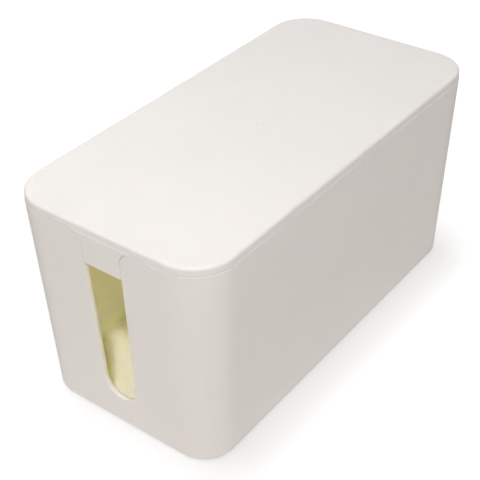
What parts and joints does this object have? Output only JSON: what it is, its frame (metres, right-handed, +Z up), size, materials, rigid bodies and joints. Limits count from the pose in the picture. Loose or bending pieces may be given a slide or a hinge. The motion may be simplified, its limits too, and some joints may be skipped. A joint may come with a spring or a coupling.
{
  "type": "cable management box",
  "caption": "Small free-standing box that hides a power strip and its leads: open tub with cord slots in its ends, lift-off lid and rubber feet.",
  "frame": {"origin": "middle of the box on the plane that its feet stand on", "axes": "+X along the length, +Y across the width, +Z up; a cord slot faces each of -X and +X"},
  "size_m": [0.235, 0.116, 0.119],
  "materials": {
    "plastic": "fine satin, as moulded",
    "rubber": "matte"
  },
  "bodies": {
    "box": {"box_body": "plastic", "foot_front_left": "rubber", "foot_front_right": "rubber", "foot_rear_left": "rubber", "foot_rear_right": "rubber"},
    "lid": {"lid": "plastic"}
  },
  "joints": [
    {"name": "lid_lift", "type": "slide", "parent": "box", "child": "lid", "axis": [0, 0, 1], "range_m": [0, 0.15]}
  ]
}
